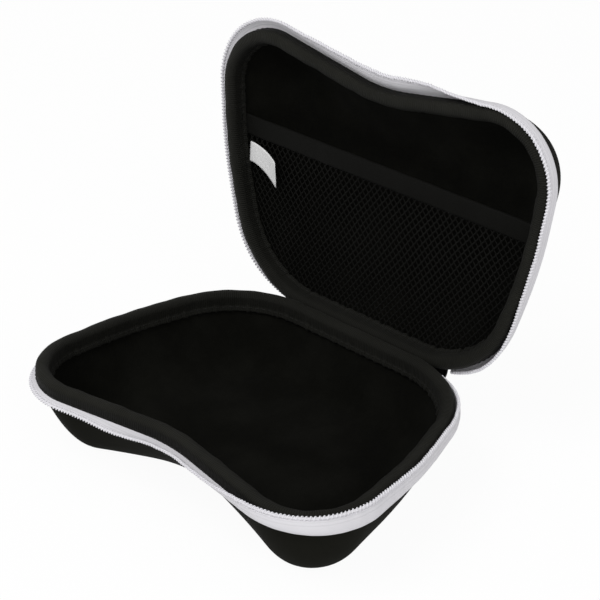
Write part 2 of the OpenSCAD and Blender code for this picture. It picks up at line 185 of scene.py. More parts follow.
def outline(share, inset, spacing):
    """Points round the case, about spacing apart at the rim: along each corner's arc, middle +
    radius (cos, sin), and then along the straight line to the next arc."""
    middle, start, turn, radius = rounded(0.0, 0.0)
    ends = middle + radius[:, None] * np.stack([np.cos(start + turn), np.sin(start + turn)], -1)
    heads = middle + radius[:, None] * np.stack([np.cos(start), np.sin(start)], -1)
    arcs = np.maximum(2, np.ceil(np.abs(turn) * radius / spacing)).astype(int)
    between = np.linalg.norm(np.roll(heads, -1, 0) - ends, axis=1)
    lines = np.maximum(2, np.ceil(between / spacing)).astype(int)
    middle, start, turn, radius = rounded(share, inset)
    run = []
    for i, (arc, line) in enumerate(zip(arcs, lines)):
        angle = start[..., i, None] + turn[..., i, None] * np.linspace(0, 1, arc + 1)
        run.append(middle[..., i, None, :]
                   + radius[..., i, None, None] * np.stack([np.cos(angle), np.sin(angle)], -1))
        n = (i + 1) % len(arcs)
        head = middle[..., n, :] + radius[..., n, None] * np.stack(
            [np.cos(start[..., n]), np.sin(start[..., n])], -1)
        f = (np.arange(1, line) / line)[:, None]
        run.append(run[-1][..., -1:, :] * (1 - f) + head[..., None, :] * f)
    return np.concatenate(run, -2)


def rings(turn, inset, depth, spacing):
    """Rings of the wall for turns in degrees: the outline goes (1 - cos turn) of the way to the
    floor's, at height -LEG - (depth - LEG) sin(turn) ** WALL_POWER."""
    turn = np.radians(np.asarray(turn, float))
    flat = outline(1 - np.cos(turn), np.broadcast_to(inset, turn.shape), spacing)
    z = -LEG - (depth - LEG) * np.sin(turn) ** WALL_POWER
    return np.concatenate([flat, np.broadcast_to(z[:, None, None], flat.shape[:2] + (1,))], -1)


def rim_rings(inset, z, spacing):
    """Rings that follow the rim's outline, inset by each value and at each height."""
    flat = outline(np.zeros(len(z)), np.asarray(inset, float), spacing)
    return np.concatenate([flat, np.broadcast_to(np.asarray(z, float)[:, None, None],
                                                 flat.shape[:2] + (1,))], -1)


def floor_rings(edge, shares):
    """The floor's edge scaled about FLOOR_MIDDLE by each share, all at the edge's height."""
    shares = np.asarray(shares, float)[:, None, None]
    flat = FLOOR_MIDDLE + (edge[None, :, :2] - FLOOR_MIDDLE) * shares
    return np.concatenate([flat, np.broadcast_to(edge[None, :, 2:], flat.shape[:2] + (1,))], -1)


def run_length(points, axis):
    """Mean distance along a grid of points on one axis, with one more entry that closes the loop."""
    closed = np.concatenate([points, points.take([0], axis)], axis)
    steps = np.linalg.norm(np.diff(closed, axis=axis), axis=-1).mean(1 - axis)
    return np.concatenate([[0], np.cumsum(steps)])


def lay(name, grid, u, v, material, body, loop=False):
    """Makes a piece from grid[b, i, j], points in mm: a quad between each two rows i and columns j
    of each sheet b. Columns close round. With loop the rows do too, and otherwise a fan round its
    mean point closes each end row. u and v spread to (rows + 1, columns + 1) and are mm along and
    across the cloth. All faces are flipped if the enclosed volume comes out negative."""
    grid = np.asarray(grid, float)
    grid = grid[None] if grid.ndim == 3 else grid
    sheets, rows, columns = grid.shape[:3]
    i, j = np.meshgrid(np.arange(rows if loop else rows - 1), np.arange(columns), indexing="ij")
    i, j = i.ravel(), j.ravel()
    below, beside = (i + 1) % rows, (j + 1) % columns
    here, down = i * columns, below * columns
    quads = np.stack([here + j, down + j, down + beside, here + beside], -1)
    full = (rows + 1, columns + 1)
    u, v = np.broadcast_to(u, full), np.broadcast_to(v, full)
    at = ((i, j), (i + 1, j), (i + 1, j + 1), (i, j + 1))
    quad_uv = np.stack([np.stack([u[p], v[p]], -1) for p in at], 1)
    points = grid.reshape(sheets, -1, 3)
    tris, tri_uv = np.zeros((0, 3), int), np.zeros((0, 3, 2))
    if not loop:
        points = np.concatenate([points, grid[:, :1].mean(2), grid[:, -1:].mean(2)], 1)
        j = np.arange(columns)
        k = (j + 1) % columns
        first, last = rows * columns, (rows - 1) * columns
        tris = np.concatenate([np.stack([j, k, np.full_like(j, first)], -1),
                               np.stack([last + k, last + j, np.full_like(j, first + 1)], -1)])
        tri_uv = np.concatenate([np.stack([np.stack([u[r, j + a], v[r, j + a]], -1) for a in order], 1)
                                 for r, order in ((0, (0, 1, 0)), (rows - 1, (1, 0, 0)))])
    per = points.shape[1]
    shift = (np.arange(sheets) * per)[:, None, None]
    loops = np.concatenate([(quads + shift).reshape(sheets, -1), (tris + shift).reshape(sheets, -1)], 1)
    totals = np.tile(np.r_[np.full(len(quads), 4), np.full(len(tris), 3)], sheets)
    uv = np.tile(np.concatenate([quad_uv.reshape(-1, 2), tri_uv.reshape(-1, 2)]), (sheets, 1))
    points, loops = points.reshape(-1, 3) * MM, loops.ravel()
    starts = np.concatenate([[0], np.cumsum(totals)[:-1]])
    a, b, c = points[loops[starts]], points[loops[starts + 1]], points[loops[starts + 2]]
    d = points[loops[starts + totals - 1]]
    if (a * np.cross(b, c)).sum() + (a * np.cross(c, d)).sum() < 0:
        turned_over = starts.repeat(totals) * 2 + totals.repeat(totals) - 1 - np.arange(len(loops))
        loops, uv = loops[turned_over], uv[turned_over]
    mesh = bpy.data.meshes.new(name)
    mesh.vertices.add(len(points))
    mesh.vertices.foreach_set("co", points.ravel())
    mesh.loops.add(len(loops))
    mesh.loops.foreach_set("vertex_index", loops)
    mesh.polygons.add(len(totals))
    mesh.polygons.foreach_set("loop_start", starts)
    mesh.polygons.foreach_set("loop_total", totals)
    mesh.polygons.foreach_set("use_smooth", np.ones(len(totals), bool))
    mesh.update()
    mesh.uv_layers.new(name="cloth").data.foreach_set("uv", uv.ravel())
    mesh.validate()
    mesh.materials.append(material)
    piece = bpy.data.objects.new(name, mesh)
    bpy.context.scene.collection.objects.link(piece)
    if body:
        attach(piece, body)
    return piece


def new_group(name, inputs, outputs):
    """An empty node group with named float, colour or vector sockets. Returns tree, inputs, outputs."""
    group = bpy.data.node_groups.new(name, "ShaderNodeTree")
    kinds = {"value": "NodeSocketFloat", "colour": "NodeSocketColor", "vector": "NodeSocketVector"}
    for side, sockets in (("INPUT", inputs), ("OUTPUT", outputs)):
        for label, kind in sockets:
            group.interface.new_socket(label, in_out=side, socket_type=kinds[kind])
    return group, group.nodes.new("NodeGroupInput").outputs, group.nodes.new("NodeGroupOutput").inputs


def noise(tree, vector, scale, detail=2.0, roughness=0.5):
    """A noise texture's value on a vector."""
    node = tree.nodes.new("ShaderNodeTexNoise")
    node.inputs["Scale"].default_value = scale
    node.inputs["Detail"].default_value = detail
    node.inputs["Roughness"].default_value = roughness
    tree.links.new(vector, node.inputs["Vector"])
    return node.outputs["Fac"]


def spread(tree, value, low, high, new_low=0.0, new_high=1.0):
    """Maps a value smoothly from low..high to new_low..new_high."""
    node = tree.nodes.new("ShaderNodeMapRange")
    node.interpolation_type = "SMOOTHSTEP"
    for label, number in (("From Min", low), ("From Max", high), ("To Min", new_low), ("To Max", new_high)):
        node.inputs[label].default_value = number
    tree.links.new(value, node.inputs["Value"])
    return node.outputs["Result"]


# Lint and rubbing: the cloth's colour goes towards a lighter one in wide soft patches and in a few
# fine specks of lint.
LINT, given, gives = new_group("Lint and rubbing",
                               [("Place", "vector"), ("Colour", "colour"), ("Rubbed", "colour"),
                                ("Patches", "value"), ("Specks", "value")],
                               [("Colour", "colour"), ("Mask", "value")])
patches = spread(LINT, noise(LINT, given["Place"], 38, 3.0, 0.55), 0.38, 0.72)
patches = calc(LINT, "MULTIPLY", patches, given["Patches"])
specks = spread(LINT, noise(LINT, given["Place"], 900, 1.0), 0.76, 0.86)
specks = calc(LINT, "MULTIPLY", specks, given["Specks"])
mask = calc(LINT, "MINIMUM", calc(LINT, "ADD", patches, specks), 1.0)
mix = LINT.nodes.new("ShaderNodeMix")
mix.data_type = "RGBA"
LINT.links.new(mask, mix.inputs["Factor"])
LINT.links.new(given["Colour"], mix.inputs["A"])
LINT.links.new(given["Rubbed"], mix.inputs["B"])
LINT.links.new(mix.outputs["Result"], gives["Colour"])
LINT.links.new(mask, gives["Mask"])


def cloth_axes(tree, given):
    """The distances along and across the cloth, in mm."""
    split = tree.nodes.new("ShaderNodeSeparateXYZ")
    tree.links.new(given["Cloth"], split.inputs[0])
    return split.outputs["X"], split.outputs["Y"]


def waves(tree, value, length):
    """The sine of 2 pi value / length."""
    return calc(tree, "SINE", calc(tree, "MULTIPLY", value, 2 * pi / length))


# Knitted skin: rows of small stitches pressed flat by the mould, over a faint unevenness of the foam.
KNIT_ROW, KNIT_LOOP = 0.55, 0.7
SKIN_KNIT, given, gives = new_group("Knitted skin", [("Cloth", "vector"), ("Place", "vector")],
                                    [("Height", "value"), ("Shade", "value")])
along, across = cloth_axes(SKIN_KNIT, given)
stitch = calc(SKIN_KNIT, "MULTIPLY", waves(SKIN_KNIT, along, KNIT_ROW), waves(SKIN_KNIT, across, KNIT_LOOP))
foam = noise(SKIN_KNIT, given["Place"], 240, 3.0, 0.6)
SKIN_KNIT.links.new(calc(SKIN_KNIT, "MULTIPLY_ADD", stitch, 0.22, calc(SKIN_KNIT, "MULTIPLY", foam, 0.9)),
                    gives["Height"])
# Shade: painted shade between the stitches, lighter on their crests.
SKIN_KNIT.links.new(calc(SKIN_KNIT, "MULTIPLY_ADD", stitch, 0.12, 0.5), gives["Shade"])


def dressed(name, group, dark, rubbed, patches, specks, roughness, gloss, sheen, bump, depth, contrast,
            values=None):
    """A cloth or thread material: the named group gives its height, the lint group its colour from
    dark to rubbed, and the rest is set on the shader. depth is the height of the bump in mm, and
    contrast is how much lighter a thread's crest is than the gap beside it. The group's Shade scales
    the colour by it: for woven, knitted, ribbed and twill cloth that is painted shade in the gaps
    between threads, and for the ribbed tape painted light and shade over the fold too."""
    material = bpy.data.materials.new(name)
    material.use_nodes = True
    tree = material.node_tree
    shader = tree.nodes["Principled BSDF"]
    cloth = tree.nodes.new("ShaderNodeUVMap")
    cloth.uv_map = "cloth"
    place = tree.nodes.new("ShaderNodeTexCoord").outputs["Object"]
    weave = tree.nodes.new("ShaderNodeGroup")
    weave.node_tree = group
    if "Cloth" in weave.inputs:
        tree.links.new(cloth.outputs[0], weave.inputs["Cloth"])
    if "Place" in weave.inputs:
        tree.links.new(place, weave.inputs["Place"])
    for label, number in (values or {}).items():
        weave.inputs[label].default_value = number
    lint = tree.nodes.new("ShaderNodeGroup")
    lint.node_tree = LINT
    tree.links.new(place, lint.inputs["Place"])
    lint.inputs["Colour"].default_value = (*dark, 1)
    lint.inputs["Rubbed"].default_value = (*rubbed, 1)
    lint.inputs["Patches"].default_value = patches
    lint.inputs["Specks"].default_value = specks
    shade = tree.nodes.new("ShaderNodeMix")
    shade.data_type = "RGBA"
    shade.blend_type = "MULTIPLY"
    shade.inputs["Factor"].default_value = 1.0
    tree.links.new(lint.outputs["Colour"], shade.inputs["A"])
    # lift scales the colour by the group's Shade, with the painted shade and light it holds.
    lift = calc(tree, "MULTIPLY_ADD", weave.outputs["Shade"], contrast, 1 - contrast / 2)
    joined = tree.nodes.new("ShaderNodeCombineColor")
    for socket in joined.inputs:
        tree.links.new(lift, socket)
    tree.links.new(joined.outputs[0], shade.inputs["B"])
    tree.links.new(shade.outputs["Result"], shader.inputs["Base Color"])
    rubbed_rough = calc(tree, "MULTIPLY_ADD", lint.outputs["Mask"], 0.1, roughness)
    tree.links.new(rubbed_rough, shader.inputs["Roughness"])
    shader.inputs["Specular IOR Level"].default_value = gloss
    shader.inputs["Sheen Weight"].default_value = sheen
    shader.inputs["Sheen Roughness"].default_value = 0.5
    raised = tree.nodes.new("ShaderNodeBump")
    raised.inputs["Strength"].default_value = bump
    raised.inputs["Distance"].default_value = depth * MM
    tree.links.new(weave.outputs["Height"], raised.inputs["Height"])
    tree.links.new(raised.outputs[0], shader.inputs["Normal"])
    return material


outer_skin = dressed("outer_skin", SKIN_KNIT, dark=(0.0078, 0.0078, 0.0058),
                     rubbed=(0.0115, 0.0115, 0.009), patches=0.5, specks=0.15, roughness=0.75,
                     gloss=0.02, sheen=0.0, bump=0.5, depth=0.1, contrast=0.6)

WALL_TURNS = np.concatenate([np.arange(90, 8, -3.0), [6, 3, 0]])  # from the floor up to the rim
FLOOR_SHARES = np.array([0.04, 0.2, 0.4, 0.6, 0.75, 0.87, 0.95])  # from the middle to the edge


def shell_surface(depth):
    """The shell's outer face from the middle of the floor up to the rim, over the top and down the
    inner face to the middle again, as rows of rings."""
    face_in = SHELL_IN + SHELL_THICK
    outer = rings(WALL_TURNS, SHELL_IN, depth, WALL_SPACING)
    inner = rings(WALL_TURNS[::-2], face_in, depth - SHELL_THICK, WALL_SPACING)
    top = rim_rings([SHELL_IN, SHELL_IN, SHELL_IN + 0.4, face_in - 0.4, face_in],
                    [LAYER_SIDE, LAYER_SHOULDER, LAYER_TOP, LAYER_TOP, LAYER_SHOULDER], WALL_SPACING)
    return np.concatenate([floor_rings(outer[0], FLOOR_SHARES), outer, top, inner,
                           floor_rings(inner[-1], FLOOR_SHARES[::-1])])


def lift_base(points):
    """From heights below the base's rim to heights above the table."""
    return points + np.array([0, 0, BASE_DEPTH])


def lay_rings(name, surface, place, material, body, loop=False):
    """Lays rows of rings round the case: u runs along the outline and v down the section."""
    return lay(name, place(surface), run_length(surface, 1)[None, :], run_length(surface, 0)[:, None],
               material, body, loop)


base_skin = lay_rings("base_skin", shell_surface(BASE_DEPTH), lift_base, outer_skin, "base")
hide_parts("base_shell")

# Base lining
# One sheet of very dark cloth with a short brushed nap, laminated to the foam and moulded with it.
# The nap stands in small tufts, and lies in soft swirls.
LINING_IN = 4.6
LINING_THICK = 0.9
LINING_FACE_IN = LINING_IN + LINING_THICK

NAP, given, gives = new_group("Brushed nap", [("Place", "vector"), ("Length", "value")],
                              [("Height", "value"), ("Shade", "value")])
fibres = noise(NAP, given["Place"], 2600, 2.0, 0.7)
tufts = noise(NAP, given["Place"], 420, 3.0, 0.6)
swirl = noise(NAP, given["Place"], 45, 2.0, 0.5)
pile = calc(NAP, "ADD", fibres, calc(NAP, "MULTIPLY", tufts, 0.8))
NAP.links.new(calc(NAP, "MULTIPLY", pile, given["Length"]), gives["Height"])
brushed = calc(NAP, "ADD", calc(NAP, "MULTIPLY", tufts, 0.5), calc(NAP, "MULTIPLY", swirl, 0.5))
NAP.links.new(brushed, gives["Shade"])

fleece = dressed("fleece", NAP, dark=(0.004, 0.004, 0.0032), rubbed=(0.0074, 0.0074, 0.0061),
                 patches=0.6, specks=0.2, roughness=0.95, gloss=0.02, sheen=0.008, bump=0.8, depth=0.25,
                 contrast=0.8, values={"Length": 1.0})


def lining_surface(depth):
    """The lining as rows of rings: its hidden face from the floor's middle to the rim, over its
    top, and its open face down to the middle again."""
    hidden_depth = depth - SHELL_THICK - 0.1
    outer = rings(WALL_TURNS[::2], LINING_IN, hidden_depth, WALL_SPACING)
    inner = rings(WALL_TURNS[::-1], LINING_FACE_IN, hidden_depth - LINING_THICK, WALL_SPACING)
    top = rim_rings([LINING_IN, LINING_IN + 0.3, LINING_FACE_IN - 0.3, LINING_FACE_IN, LINING_FACE_IN],
                    [LAYER_SHOULDER, LAYER_TOP, LAYER_TOP, LAYER_SHOULDER, LAYER_SIDE], WALL_SPACING)
    return np.concatenate([floor_rings(outer[0], FLOOR_SHARES), outer, top, inner,
                           floor_rings(inner[-1], FLOOR_SHARES[::-1])])


base_fleece = lay_rings("base_fleece", lining_surface(BASE_DEPTH), lift_base, fleece, "base")
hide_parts("base_lining")

# Base binding
# Ribbed woven tape, about 22 mm wide, folded over the rim and sewn through all layers. It rounds
# over the top, and its inner hem is gathered round the corners, so that it puckers between stitches.
RIM_W = 6.4
ROLL_H = 2.4
BINDING_THICK = 0.8
RIB = 0.95  # from rib to rib of the tape
RIB_THREAD = 0.45
HEM_TURN = 14
HEM_OUT = 0.5
BINDING_SPACING = 0.5
GATHER, FINE_GATHER = 0.42, 0.16  # how far the hem's wide and narrow puckers lift it
PULL = 0.24  # how far the tape is pulled out of line

# Woven threads: a thread on every Along and Across, with a hump where it crosses over the others.
# Each course is half a crossing on from the one before.
WOVEN, given, gives = new_group("Woven threads",
                                [("Cloth", "vector"), ("Along", "value"), ("Across", "value")],
                                [("Height", "value"), ("Shade", "value")])
along, across = cloth_axes(WOVEN, given)
course = calc(WOVEN, "DIVIDE", along, given["Along"])
row = calc(WOVEN, "DIVIDE", across, given["Across"])
hump = calc(WOVEN, "ABSOLUTE", waves(WOVEN, course, 2))
stagger = calc(WOVEN, "MULTIPLY", calc(WOVEN, "FLOOR", course), 0.5)
crossing = calc(WOVEN, "ABSOLUTE", waves(WOVEN, calc(WOVEN, "ADD", row, stagger), 2))
thread = calc(WOVEN, "MULTIPLY_ADD", hump, 0.5, calc(WOVEN, "MULTIPLY", crossing, 0.5))
WOVEN.links.new(thread, gives["Height"])
# Shade: painted shade, darker in the gaps between the threads than on their humps.
WOVEN.links.new(calc(WOVEN, "MULTIPLY", thread, 0.9), gives["Shade"])

# Ribbed tape: a rib across the tape on every RIB, of fine threads. The cloth's Y is the distance
# from the outer leg's lower edge. Its colour has painted light and shade: lighter over the top of
# the fold, darker down the outer leg, and darker again past the top towards the inner leg.
RIBBED, given, gives = new_group("Ribbed tape", [("Cloth", "vector")],
                                 [("Height", "value"), ("Shade", "value")])
along, across = cloth_axes(RIBBED, given)
rib = calc(RIBBED, "ABSOLUTE", waves(RIBBED, along, 2 * RIB))
fine = waves(RIBBED, across, RIB_THREAD)
# Painted light on the top of the fold, painted shade down the outer leg and towards the inner leg.
painted_crown_light_leg_shade = spread(RIBBED, across, 3.0, 6.0, -0.14, 0.62)
painted_inner_leg_shade = spread(RIBBED, across, 7.2, 11.0, 0.0, 0.42)
fold = calc(RIBBED, "SUBTRACT", painted_crown_light_leg_shade, painted_inner_leg_shade)
RIBBED.links.new(calc(RIBBED, "MULTIPLY_ADD", fine, 0.12, rib), gives["Height"])
# Painted shade between the ribs and threads, lighter on their crests.
rib_shade = calc(RIBBED, "MULTIPLY_ADD", fine, 0.15, rib)
RIBBED.links.new(calc(RIBBED, "MULTIPLY_ADD", rib_shade, 0.4, fold), gives["Shade"])

# The binding's contrast of 1.1 also scales the fold's painted light and shade.
ribbed = dressed("ribbed_binding", RIBBED, dark=(0.0072, 0.0072, 0.0056),
                 rubbed=(0.0128, 0.0128, 0.0103), patches=0.4, specks=0.2, roughness=0.62, gloss=0.08,
                 sheen=0.02, bump=0.9, depth=0.24, contrast=1.1)


def wobble(at, lengths, seed):
    """A repeatable wobble from -1 to 1: the mean of cosines of at, one for each wave length, each
    started at its own phase."""
    phases = np.random.default_rng(seed).uniform(0, 2 * pi, len(lengths))
    return np.mean([np.cos(2 * pi * at / n + p) for n, p in zip(lengths, phases)], 0)


def outward(surface):
    """Unit normals of a closed section carried round the case: the cross product of the differences
    along rows and columns, with the sign that makes the outer leg's third ring face outwards."""
    down = np.roll(surface, -1, 0) - np.roll(surface, 1, 0)
    along = np.roll(surface, -1, 1) - np.roll(surface, 1, 1)
    normal = unit(np.cross(down, along))
    return normal * np.sign((normal[2] * (surface[2] - surface[2].mean(0))).sum())


def binding_surface(depth, seed):
    """The folded tape as a closed section carried round the rim: outer leg, half an ellipse over
    the top, inner leg and hem, and back up inside. Slow waves move it by up to PULL, and puckers
    between the stitches lift the hem by up to GATHER + FINE_GATHER."""
    hem_depth = depth - SHELL_THICK - 0.1 - LINING_THICK
    a = np.radians(np.linspace(0, 180, 19))
    outer_leg = [-5.85, -5.6, -4.9, -4.0, -3.2, -2.6]
    inner_leg = [-2.9, -3.8, -4.8, -5.7]
    outer = rim_rings(np.r_[np.zeros(6), RIM_W / 2 * (1 - np.cos(a)), np.full(4, RIM_W)],
                      np.r_[outer_leg, -ROLL_H * (1 - np.sin(a)), inner_leg], BINDING_SPACING)
    hem = rings(np.linspace(2, HEM_TURN, 6), np.linspace(RIM_W, RIM_W + HEM_OUT, 6), hem_depth,
                BINDING_SPACING)
    back = RIM_W - BINDING_THICK
    under = rings([HEM_TURN + 0.6, HEM_TURN, 7], [RIM_W - 0.1, back, back], hem_depth, BINDING_SPACING)
    inside = rim_rings([back, back, BINDING_THICK, BINDING_THICK], [-5.0, RIM_FILL, RIM_FILL, -5.6],
                       BINDING_SPACING)
    surface = np.concatenate([outer, hem, under, inside])
    s = run_length(outer, 1)[:-1]
    v = np.linspace(0, 1, len(surface))
    share = np.clip((np.arange(len(surface)) - len(outer) + 5) / 9, 0, 1)[:, None]
    gathers = GATHER * wobble(s, (5.3, 7.9, 4.1), seed) + FINE_GATHER * wobble(s, (2.7, 3.3), seed + 1)
    pucker = gathers[None, :] * share
    pull = PULL * wobble(s, (31, 19, 11.3), seed + 2)[None, :] * np.sin(pi * v)[:, None]
    shown = (np.arange(len(surface)) < len(outer) + len(hem))[:, None]
    return surface + outward(surface) * ((pull + pucker) * shown)[..., None]


base_rim_surface = binding_surface(BASE_DEPTH, 11)
base_rim = lay_rings("base_rim", base_rim_surface, lift_base, ribbed, "base", loop=True)
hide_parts("base_binding")

# Base seams
# Two rows of black lockstitch in thick thread: one along the outer leg, which holds the zip, and
# one along the inner hem. Each stitch is a short bead of thread that sinks in at both ends.
thread_black = dressed("black_thread", WOVEN, dark=(0.007, 0.007, 0.006), rubbed=(0.012, 0.012, 0.011),
                       patches=0.2, specks=0.0, roughness=0.55, gloss=0.15, sheen=0.03, bump=0.4,
                       depth=0.05, contrast=0.6, values={"Along": 0.3, "Across": 0.2})
STITCH = 3.1  # from stitch to stitch
STITCH_LENGTH = STITCH * 0.82
THREAD_RADIUS = 0.19
STITCH_SUNK = 0.26


def stitches(line, normal, pitch, length, radius, sunk):
    """Beads along a closed line of points: each runs length along the line, its radius is
    radius * sqrt(1 - t * t) for t from -1 to 1, and it sinks by sunk * t * t towards its ends."""
    step = np.linalg.norm(np.roll(line, -1, 0) - line, axis=1)
    at = np.concatenate([[0], np.cumsum(step)])
    closed, closed_normal = np.concatenate([line, line[:1]]), np.concatenate([normal, normal[:1]])
    count = int(at[-1] / pitch)
    t = np.linspace(-0.97, 0.97, 7)
    s = ((np.arange(count) + 0.5) * at[-1] / count)[:, None] + t[None, :] * length / 2
    middle = np.stack([np.interp(s, at, closed[:, k]) for k in range(3)], -1)
    out = unit(np.stack([np.interp(s, at, closed_normal[:, k]) for k in range(3)], -1))
    middle = middle + out * (radius * 0.55 - sunk * t * t)[None, :, None]
    along = unit(np.gradient(middle, axis=1))
    across = unit(np.cross(along, out))
    round_it = np.linspace(0, 2 * pi, 7)[:-1]
    r = (radius * np.sqrt(1 - t * t))[None, :, None, None]
    return middle[:, :, None] + r * (across[:, :, None] * np.cos(round_it)[:, None]
                                     + np.cross(along, across)[:, :, None] * np.sin(round_it)[:, None])


def seam(name, surface, row, place, body):
    """A row of stitches on one row of the binding's rings."""
    beads = stitches(surface[row], outward(surface)[row], STITCH, STITCH_LENGTH, THREAD_RADIUS, STITCH_SUNK)
    return lay(name, place(beads), np.linspace(0, STITCH, beads.shape[1] + 1)[:, None],
               np.linspace(0, 1.5, beads.shape[2] + 1)[None, :], thread_black, body)


OUTER_ROW, HEM_ROW = 2, 31  # the binding's rings that carry the two seams
seam("base_outer_stitches", base_rim_surface, OUTER_ROW, lift_base, "base")
seam("base_hem_stitches", base_rim_surface, HEM_ROW, lift_base, "base")

# Base zip tape
# One half of a coil zip: soft white polyester tape sewn in between the binding's outer leg and the
# shell. It lies as in the photograph: drooping round the left lobe and standing up at the right.
TAPE_W = 8.6
FOLD_W = 5.0
TAPE_THICK = 0.6
COIL_W = 1.7
COIL_T = 1.5
ZIP_START = 16.0  # from each end of the path to the tape's end
SEAM_OUT, SEAM_UP = -0.55, -6.15  # where the tape leaves its seam, from the outline and the rim
EDGE_WAVE, FINE_WAVE = 0.3, 0.12  # how far the free edge waves
BASE_LIE = np.array([
    (0, 0.3, 0.45, -34, 30, 0), (0.05, 0.3, 0.45, -34, 30, 0), (0.1, 0.38, 0.35, -40, 30, 0),
    (0.2, 0.44, 0.3, -40, 30, -10), (0.25, 0.26, 0.15, -44, 0, -38), (0.31, 0.26, 0.13, -34, 0, -30),
    (0.4, 0.26, 0.13, -22, 0, -24), (0.435, 0.36, 0.3, -14, 10, -18),
    (0.475, 0.42, 0.44, 18, 26, 0), (0.52, 0.44, 0.42, 33, 30, 0),
    (0.56, 0.48, 0.4, 40, 30, 0), (0.59, 0.52, 0.48, 50, 30, 0), (0.63, 0.6, 0.72, 76, 30, 0),
    (0.66, 0.64, 0.84, 84, 30, 0), (0.7, 0.96, 0.95, 94, 30, 0), (0.73, 1, 1, 97, 30, 0),
    (0.77, 0.8, 0.95, 93, 30, 0), (0.82, 0.7, 0.8, 90, 30, 0), (0.9, 0.52, 0.7, 92, 30, 0),
    (0.94, 0.42, 0.55, 92, 30, 0), (0.965, 0.24, 0.3, 80, 30, 0), (1, 0.24, 0.1, 60, 30, 0)])

# Zip tape: fine twill, with a dent along each of two rows of chain stitch beside the coil. The
# cloth's Y is the distance from the free edge. The dents and the gaps between the twill's lines
# are darkened in the colour as painted shade.
TWILL_STEP = 0.55
CHAIN_ROWS = (1.0, 2.4)
TWILL, given, gives = new_group("Twill tape", [("Cloth", "vector")],
                                [("Height", "value"), ("Shade", "value")])
along, across = cloth_axes(TWILL, given)
twill = waves(TWILL, calc(TWILL, "MULTIPLY_ADD", across, 0.7, along), TWILL_STEP)
dents = []
for row_at in CHAIN_ROWS:
    off = calc(TWILL, "ABSOLUTE", calc(TWILL, "SUBTRACT", across, row_at))
    dents.append(spread(TWILL, off, 0.08, 0.34, 1.0, 0.0))
dent = calc(TWILL, "ADD", *dents)
TWILL.links.new(calc(TWILL, "SUBTRACT", calc(TWILL, "MULTIPLY", twill, 0.12), dent), gives["Height"])
# Painted shade: darker between the twill's lines and in the two dents.
twill_shade = calc(TWILL, "MULTIPLY_ADD", twill, 0.18, 0.5)
TWILL.links.new(calc(TWILL, "SUBTRACT", twill_shade, calc(TWILL, "MULTIPLY", dent, 0.25)), gives["Shade"])

zip_white = dressed("zip_tape", TWILL, dark=(0.68, 0.67, 0.7), rubbed=(0.61, 0.6, 0.62), patches=0.25,
                    specks=0.0, roughness=0.8, gloss=0.2, sheen=0.05, bump=0.5, depth=0.08,
                    contrast=0.3)


def zip_line():
    """The rim's outline from the start of the left back corner to the end of the right back one,
    without the straight back, and the distance of each point along it."""
    ring = outline(0.0, 0.0, 0.5)
    back_points = int(np.argmax(np.abs(np.diff(ring[::-1, 1])) > 1e-6))
    line = ring[:len(ring) - back_points]
    return line, np.concatenate([[0], np.cumsum(np.linalg.norm(np.diff(line, axis=0), axis=1))])


ZIP_LINE, ZIP_AT = zip_line()
ZIP_LENGTH = ZIP_AT[-1]


def on_line(s):
    """The points of the zip's line at distances s."""
    return np.stack([np.interp(s, ZIP_AT, ZIP_LINE[:, k]) for k in range(2)], -1)


def tape_section(s, lie):
    """Four corners [outwards, up] of the tape's run at each s: from the seam out to its fold, and
    then on in two straight parts. Each row of lie has the share of the zip's length, the shares of
    FOLD_W and TAPE_W, and in degrees the flap's angle, the turn between its parts and the fold's
    tilt. Nine readings of the table round each place are averaged, so that it has no corners."""
    share = (s - ZIP_START) / (ZIP_LENGTH - 2 * ZIP_START)
    near = share[:, None] + np.linspace(-0.02, 0.02, 9)[None, :]
    fold, flap, angle, curl, rise = (np.interp(near, lie[:, 0], lie[:, k]).mean(1) for k in range(1, 6))
    corner = np.broadcast_to([SEAM_OUT, SEAM_UP], (len(s), 2))
    corners = [corner]
    for length, tilt in ((FOLD_W * fold, rise), (TAPE_W * flap / 2, angle - curl / 2),
                         (TAPE_W * flap / 2, angle + curl / 2)):
        tilt = np.radians(tilt)
        corner = corner + length[:, None] * np.stack([np.cos(tilt), np.sin(tilt)], -1)
        corners.append(corner)
    return np.stack(corners, 1)


def soft_run(corners, count):
    """A smooth line through a section of four corners: two quadratic curves that meet halfway
    between the middle corners, (1-t)^2 a + 2 t (1-t) b + t^2 c."""
    p, q, r, e = (corners[:, k, None, :] for k in range(4))
    half = (q + r) / 2
    t = np.linspace(0, 1, count)[None, :, None]
    first = (1 - t) ** 2 * p + 2 * t * (1 - t) * q + t ** 2 * half
    second = (1 - t) ** 2 * half + 2 * t * (1 - t) * r + t ** 2 * e
    return np.concatenate([first, second[:, 1:]], 1)


def zip_grid(lie, s, seed):
    """The tape's middle face at each s: its points [s, across, xyz], the unit normals there, and
    the unit vectors along the outline. Waves lift the free edge by up to EDGE_WAVE + FINE_WAVE."""
    at, along = on_line(s), unit(on_line(s + 1.5) - on_line(s - 1.5))
    out = np.stack([along[:, 1], -along[:, 0]], -1)
    section = soft_run(tape_section(s, lie), 9)
    slope = unit(np.gradient(section, axis=1))
    normal = np.stack([-slope[..., 1], slope[..., 0]], -1)
    v = np.linspace(0, 1, section.shape[1])
    size = np.interp((s - ZIP_START) / (ZIP_LENGTH - 2 * ZIP_START), lie[:, 0], lie[:, 2])
    wave = EDGE_WAVE * wobble(s, (47, 29, 17), seed) + FINE_WAVE * wobble(s, (7.7, 5.9), seed + 1)
    section = section + normal * (wave * size)[:, None, None] * (v ** 1.5)[None, :, None]

    def stand(p, is_point):
        flat = p[..., :1] * out[:, None, :]
        return np.concatenate([flat + at[:, None, :] * is_point, p[..., 1:]], -1)
    return stand(section, 1), stand(normal, 0), np.concatenate([along, 0 * along[:, :1]], -1)


